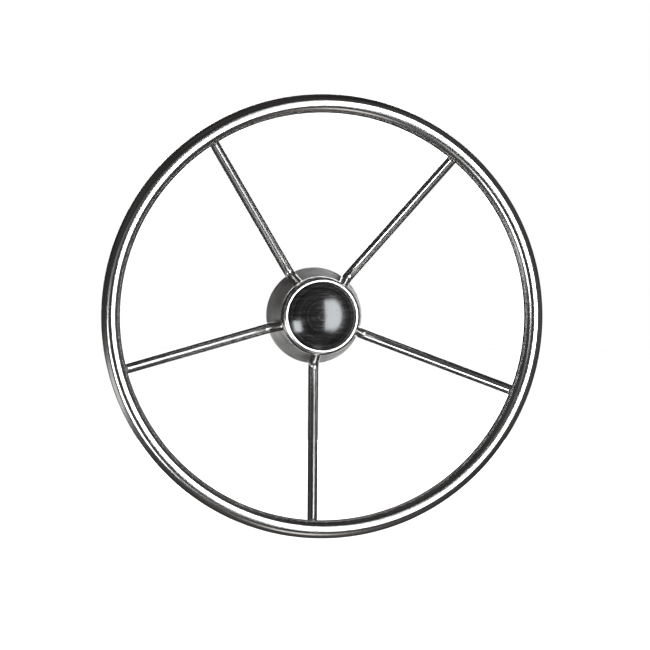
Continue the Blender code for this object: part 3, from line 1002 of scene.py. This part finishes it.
def faced(thing, azimuth, elevation):
    """Stands a light 4 m away, facing the wheel and unseen by the camera."""
    thing.location = polar(FAR, azimuth, elevation)
    facing = polar(0.0, 0.0, 0.0) - thing.location
    thing.rotation_euler = facing.to_track_quat("-Z", "Y").to_euler()
    thing.visible_camera = False
    bpy.context.scene.collection.objects.link(thing)


def panel(name, azimuth, elevation, wide, tall, radiance, tone):
    """A soft card, sized by the angles that it fills, of power radiance times pi times area."""
    width, height = span_size(wide, tall)
    light = bpy.data.lights.new(name, "AREA")
    light.shape = "RECTANGLE"
    light.size, light.size_y = width, height
    light.energy = radiance * math.pi * width * height
    light.color = tone
    faced(bpy.data.objects.new(name, light), azimuth, elevation)


def softbox(name, azimuth, elevation, wide, tall, radiance, tone):
    """A glowing sheet with soft edges: round at the driver's right, straight above and below.

    With u across it and v up it, from -1 to 1, the glow falls from full to none as the length of
    (u, v), where a negative u counts as nothing, goes from SOFT_EDGE to 1.
    """
    width, height = span_size(wide, tall)
    mesh = bpy.data.meshes.new(name)
    x, y = width / 2, height / 2
    mesh.from_pydata([(-x, -y, 0), (x, -y, 0), (x, y, 0), (-x, y, 0)], [], [(3, 2, 1, 0)])
    material = bpy.data.materials.new("diffuser_cloth")
    material.use_nodes = True
    tree = material.node_tree
    tree.nodes.clear()
    place = add(tree, "ShaderNodeTexCoord").outputs["Object"]
    unit = add(tree, "ShaderNodeMapping", {"Vector": place, "Scale": (1 / x, 1 / y, 0.0)})
    right = add(
        tree, "ShaderNodeVectorMath", {0: unit.outputs[0], 1: (0.0, -2.0, 0.0)}, operation="MAXIMUM"
    )
    out = add(tree, "ShaderNodeVectorMath", {0: right.outputs[0]}, operation="LENGTH")
    glow = spread(tree, out.outputs["Value"], radiance, 0.0, SOFT_EDGE, 1.0)
    lit = add(tree, "ShaderNodeEmission", {"Color": (*tone, 1.0), "Strength": glow})
    add(tree, "ShaderNodeOutputMaterial", {"Surface": lit.outputs[0]})
    mesh.materials.append(material)
    sheet = bpy.data.objects.new(name, mesh)
    faced(sheet, azimuth, elevation)


def polar(distance, azimuth, elevation):
    """A place seen from the rim's middle: azimuth to the right of ahead, elevation upwards."""
    a, e = math.radians(azimuth), math.radians(elevation)
    middle = Vector((0.0, -bpy.context.scene.wheel_sizes.rim_ahead, 0.0))
    reach = Vector((math.sin(a) * math.cos(e), -math.cos(a) * math.cos(e), math.sin(e)))
    return middle + reach * distance


class WHEEL_OT_stage(bpy.types.Operator):
    """Lays the pale floor and sets the lights and the camera"""

    bl_idname = "wheel.stage"
    bl_label = "Stage"

    def execute(self, context):
        scene = context.scene
        set_floor(scene)
        softbox("key_softbox", *KEY_SOFTBOX)
        for name, card in CARDS.items():
            panel(name, *card)
        set_world(scene)
        set_camera(scene, polar(0.0, 0.0, 0.0))
        scene.view_settings.view_transform = "Standard"
        return {"FINISHED"}


def set_floor(scene):
    """A wide white floor under its own high, even light.

    The metal reflects the dim room and not this light or the floor, so both are kept out of its
    reflections.
    """
    floor = surface("studio_floor", floor_points(), False, False, True)
    floor.data.materials.append(pale_floor(tuple(scene.wheel_finishes.floor)))
    floor.visible_glossy = False
    floor.visible_diffuse = False
    floor.visible_shadow = False
    light = bpy.data.lights.new("floor_wash", "SUN")
    light.energy = WASH_POWER
    light.angle = math.radians(WASH_SPREAD)
    wash = bpy.data.objects.new("floor_wash", light)
    wash.visible_glossy = False
    scene.collection.objects.link(wash)


def floor_points():
    """A wide flat round of rings, from its edge to its middle."""
    radius = np.linspace(FLOOR_REACH, 0.05, 24)[:, None]
    turn = np.linspace(0.0, math.tau, 96, endpoint=False)
    level = FLOOR_HEIGHT + 0 * radius * turn
    return np.stack([radius * np.cos(turn), radius * np.sin(turn), level], axis=-1)


def set_world(scene):
    """A dim room to reflect, with a greyer floor and right side, and a white sweep behind."""
    world = bpy.data.worlds.new("studio")
    world.use_nodes = True
    tree = world.node_tree
    toward = add(tree, "ShaderNodeTexCoord").outputs["Generated"]
    axes = add(tree, "ShaderNodeSeparateXYZ", {0: toward}).outputs
    walls = stretched(tree, toward, ROOM_PATTERN, 3.0)
    streaks = spread(tree, walls, *ROOM_DIM, 0.42, 0.7)
    below = spread(tree, axes["Z"], ROOM_BELOW, 0.0, -0.92, -0.68)
    right = spread(tree, axes["X"], 0.0, ROOM_RIGHT, 0.3, 0.9)
    sides = add(tree, "ShaderNodeMath", {0: below, 1: right}, operation="ADD").outputs[0]
    dim = add(tree, "ShaderNodeMath", {0: streaks, 1: sides}, operation="ADD").outputs[0]
    room = tree.nodes["Background"]
    room.inputs["Color"].default_value = (*linear(ROOM_TONE), 1.0)
    tree.links.new(dim, room.inputs["Strength"])
    sweep = add(tree, "ShaderNodeBackground", {"Color": (*WHITE, 1.0), "Strength": 1.0})
    seen = add(tree, "ShaderNodeLightPath").outputs["Is Camera Ray"]
    mix = add(tree, "ShaderNodeMixShader", {0: seen, 1: room.outputs[0], 2: sweep.outputs[0]})
    tree.links.new(mix.outputs[0], tree.nodes["World Output"].inputs["Surface"])
    scene.world = world


def set_camera(scene, middle):
    """Eye level, a little to the wheel's left, far enough back for a long lens."""
    camera = bpy.data.cameras.new("camera")
    camera.sensor_width = SENSOR
    camera.lens = LENS
    camera.shift_x, camera.shift_y = SHIFT
    eye = bpy.data.objects.new("camera", camera)
    eye.location = polar(*EYE)
    eye.rotation_euler = (middle - eye.location).to_track_quat("-Z", "Y").to_euler()
    scene.collection.objects.link(eye)
    scene.camera = eye


class WHEEL_PT_panel(bpy.types.Panel):
    """Lists the steps in order"""

    bl_label = "Boat Wheel"
    bl_idname = "WHEEL_PT_panel"
    bl_space_type = "VIEW_3D"
    bl_region_type = "UI"
    bl_category = "Boat Wheel"

    def draw(self, context):
        for step in STEPS:
            self.layout.operator(step.bl_idname)


STEPS = (
    WHEEL_OT_rim,
    WHEEL_OT_spokes,
    WHEEL_OT_cup,
    WHEEL_OT_skirt,
    WHEEL_OT_cap,
    WHEEL_OT_helm,
    WHEEL_OT_shaft,
    WHEEL_OT_screws,
    WHEEL_OT_dress,
    WHEEL_OT_stage,
)
GROUPS = {
    "wheel_sizes": WheelSizes,
    "hub_sizes": HubSizes,
    "helm_sizes": HelmSizes,
    "wheel_finishes": Finishes,
}


def register():
    for group in GROUPS.values():
        bpy.utils.register_class(group)
    for made in (*STEPS, WHEEL_PT_panel):
        bpy.utils.register_class(made)
    for name, group in GROUPS.items():
        setattr(bpy.types.Scene, name, bpy.props.PointerProperty(type=group))


def unregister():
    for name in GROUPS:
        delattr(bpy.types.Scene, name)
    for made in (WHEEL_PT_panel, *reversed(STEPS), *GROUPS.values()):
        bpy.utils.unregister_class(made)


def main():
    register()
    bpy.ops.wheel.rim()
    bpy.ops.wheel.spokes()
    bpy.ops.wheel.cup()
    bpy.ops.wheel.skirt()
    bpy.ops.wheel.cap()
    bpy.ops.wheel.helm()
    bpy.ops.wheel.shaft()
    bpy.ops.wheel.screws()
    bpy.ops.wheel.dress()
    bpy.ops.wheel.stage()


if __name__ == "__main__":
    main()
